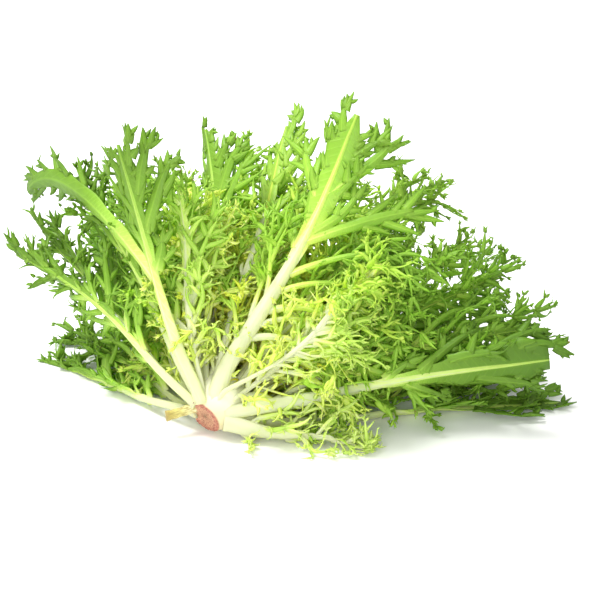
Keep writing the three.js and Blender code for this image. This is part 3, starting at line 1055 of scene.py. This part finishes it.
stem = new_material("cut_stem")
place = add_node(stem, "ShaderNodeUVMap", uv_map="LeafMap")
split = add_node(stem, "ShaderNodeSeparateXYZ", {0: place})
tone = add_node(stem, "ShaderNodeValToRGB", {0: split})
set_stops(tone, [(0.0, "#CFAE86"), (0.1, "#BC9070"), (0.24, "#C69A78"), (0.33, "#B87E66"), (0.4, "#AE6E58"),
                 (0.45, "#D8CCA4"), (0.55, "#E2E2C2"), (1.0, "#E8EACC")])
grain_place = add_node(stem, "ShaderNodeMapping", {"Vector": place, "Scale": grain_scale})
grain = add_node(stem, "ShaderNodeTexNoise", {"Vector": grain_place, "Scale": 1.0, "Detail": 4.0})
is_cut = add_node(stem, RANGE, {0: split, 1: 0.38, 2: 0.46, **FALLING}, **SMOOTHLY)
spots = add_node(stem, RANGE, {0: grain, 1: 0.38, 2: 0.56, **FALLING}, **SMOOTHLY)
cut_spots = add_node(stem, MATHS, {0: is_cut, 1: spots}, operation="MULTIPLY")
stain = add_node(stem, MATHS, {0: cut_spots, 1: 0.8}, operation="MULTIPLY")
stained = add_node(stem, "ShaderNodeMix", {0: stain, 6: tone, 7: linear("#8A4638")}, data_type="RGBA")
lumpy = add_node(stem, MATHS, {0: is_cut, 1: 0.8, 2: 0.1}, operation="MULTIPLY_ADD")
lumps = add_node(stem, "ShaderNodeBump", {"Height": grain, "Strength": lumpy, "Distance": 0.5 * MM})
surface = add_node(stem, "ShaderNodeBsdfPrincipled", {
    "Base Color": stained.outputs[2], "Normal": lumps, "Roughness": 0.7})
add_node(stem, "ShaderNodeOutputMaterial", {0: surface})
print("grain scale on the map", grain_scale)

# %% The crown's piece
crown = mesh_piece("crown_cut", corners, quads, places, stem)
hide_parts("crown")
print("crown", len(quads), "faces")

# %% [markdown]
# ## The stub of an old leaf
#
# The oldest leaf was cut off short when the head was trimmed, and its foot has dried to a tan, stringy strap
# beside the cut. A box would do for its size, but the eye expects it to pinch and swell, so it is a ribbon
# like the others, only straight, thick and in one piece.

# %% The stub's shape
STUB_STEPS = 14
STUB_ROW = 3
centres, across = sections("leaf_stub")
ends = np.stack([CROWN + (centres[0] - CROWN) * 0.8, centres[-1]])
share = np.linspace(0, 1, STUB_STEPS)
stub_path = {"centre": (ends[0] + (ends[1] - ends[0]) * share[:, None])[None]}
stub_along = unit(ends[1] - ends[0])
stub_face = unit(np.cross(stub_along, across[-1]))
stub_face = stub_face if stub_face[2] > 0 else -stub_face
for key, value in (("along", stub_along), ("side", np.cross(stub_face, stub_along)), ("face", stub_face)):
    stub_path[key] = np.broadcast_to(value, (1, STUB_STEPS, 3))
STUB_HALF = 4.2 * MM
stub_half = STUB_HALF + (-0.5 * np.sin(share * 3) + 0.25 * np.sin(share * 21)) * MM
stub_thick = 0.5 * stub_half
stub_on_map = share[None] * 0.9
stub = skin(stub_path, stub_half[None], stub_thick[None], 16, np.array([0.18]), np.zeros(1), stub_on_map,
            np.array([STUB_ROW]))
stub_length = np.linalg.norm(ends[1] - ends[0])
print("the stub is", round(stub_length / MM, 1), "mm long and", round(2 * STUB_HALF / MM, 1), "mm wide")

# %% [markdown]
# ## Dry leaf stub
#
# Dried leaf foot is a bundle of half-millimetre strings with the flesh shrunk between them: no gloss, fine
# dark lines along it, and browner towards the end that dried first.

# %% The finish of the stub
STRING_WIDTH = 0.51 * MM
STRING_LENGTH = 3.5 * MM
string_scale = (stub_length / 0.9 / STRING_LENGTH, 2 * STUB_HALF / STRING_WIDTH * ROWS / ROW_WIDTH, 1)

dry = new_material("dry_leaf_stub")
place = add_node(dry, "ShaderNodeUVMap", uv_map="LeafMap")
split = add_node(dry, "ShaderNodeSeparateXYZ", {0: place})
tone = add_node(dry, "ShaderNodeValToRGB", {0: split})
set_stops(tone, [(0.0, "#E4E2B6"), (0.45, "#D0CA7C"), (0.75, "#B8AA56"), (0.9, "#A08C4A")])
string_place = add_node(dry, "ShaderNodeMapping", {"Vector": place, "Scale": string_scale})
strings = add_node(dry, "ShaderNodeTexNoise", {"Vector": string_place, "Scale": 1.0, "Detail": 3.0})
between = add_node(dry, RANGE, {0: strings, 1: 0.35, 2: 0.6, **FALLING}, **SMOOTHLY)
lined = add_node(dry, "ShaderNodeMix", {0: between, 6: tone, 7: linear("#9C8C4A")}, data_type="RGBA")
lines = add_node(dry, "ShaderNodeBump", {"Height": strings, "Strength": 0.5, "Distance": 0.3 * MM})
surface = add_node(dry, "ShaderNodeBsdfPrincipled", {
    "Base Color": lined.outputs[2], "Normal": lines, "Roughness": 0.6})
add_node(dry, "ShaderNodeOutputMaterial", {0: surface})
print("string scale on the map", np.round(string_scale, 1))

# %% The stub's piece
piece = mesh_piece("leaf_stub_cut", *stub, dry)
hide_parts("leaf_stub")
print("stub", len(stub[1]), "faces")

# %% [markdown]
# ## The table and the light
#
# The head lies on a white table that is lit until it is almost as bright as the background, as for a
# catalogue. A bright even world does most of it. One large lamp above and to the left models the leaves, and
# a weaker one in front opens the shadows between them. A single small lamp would be simpler, but its hard
# shadows would hide the heart.

# %% A white table
TABLE_HALF = 6
table_mesh = bpy.data.meshes.new("floor")
table_corners = [(x * TABLE_HALF, y * TABLE_HALF, 0) for x, y in ((-1, -1), (1, -1), (1, 1), (-1, 1))]
table_mesh.from_pydata(table_corners, [], [(0, 1, 2, 3)])
# Matt white paint: it takes soft shadows and mirrors nothing.
white = new_material("white_table")
paint = add_node(white, "ShaderNodeBsdfPrincipled", {"Base Color": linear("#FAFAF8"), "Roughness": 0.6})
add_node(white, "ShaderNodeOutputMaterial", {0: paint})
table_mesh.materials.append(white)
floor = bpy.data.objects.new("floor", table_mesh)
bpy.context.scene.collection.objects.link(floor)
print("table", 2 * TABLE_HALF, "m across")

# %% The world and two lamps
WORLD_BRIGHTNESS = 0.76
world = bpy.data.worlds.new("studio")
bpy.context.scene.world = world
world.use_nodes = True
world.node_tree.nodes["Background"].inputs["Color"].default_value = (1, 1, 1, 1)
world.node_tree.nodes["Background"].inputs["Strength"].default_value = WORLD_BRIGHTNESS
bpy.context.scene.view_settings.view_transform = "Standard"


def softbox(name, place, aim, width, power):
    """A round lamp, width metres across, that points at aim."""
    light = bpy.data.lights.new(name, "AREA")
    light.shape, light.size, light.energy = "DISK", width, power
    lamp = bpy.data.objects.new(name, light)
    lamp.location = place
    lamp.rotation_euler = (Vector(aim) - Vector(place)).to_track_quat("-Z", "Y").to_euler()
    bpy.context.scene.collection.objects.link(lamp)


softbox("key", (-0.55, 0.1, 1.35), (0, 0, 0.05), 0.7, 30)
softbox("fill", (-0.35, -1.5, 0.55), (-0.02, 0, 0.06), 0.8, 12)
print(len(bpy.data.lights), "lamps")

# %% [markdown]
# ## The camera
#
# A long lens from a little above shows the head as a hand would pick it up, with little perspective. It is
# placed from the crown, which keeps the view right if the head is moved, and aimed up and to the right of it
# so that the whole head is in view.

# %% The camera
ELEVATION = math.radians(28)
DISTANCE = 0.85
AIM_RIGHT = 0.0492
AIM_UP = 0.0588
forwards = Vector((0, math.cos(ELEVATION), -math.sin(ELEVATION)))
upwards = Vector((0, math.sin(ELEVATION), math.cos(ELEVATION)))
eye = Vector(CROWN) - forwards * DISTANCE
target = Vector(CROWN) + Vector((AIM_RIGHT, 0, 0)) + upwards * AIM_UP
lens = bpy.data.cameras.new("camera")
lens.lens, lens.sensor_width, lens.clip_start = 85, 36, 0.01
camera = bpy.data.objects.new("camera", lens)
camera.location = eye
camera.rotation_euler = (target - eye).to_track_quat("-Z", "Y").to_euler()
bpy.context.scene.collection.objects.link(camera)
bpy.context.scene.camera = camera
print("camera at", [round(v, 3) for v in eye])
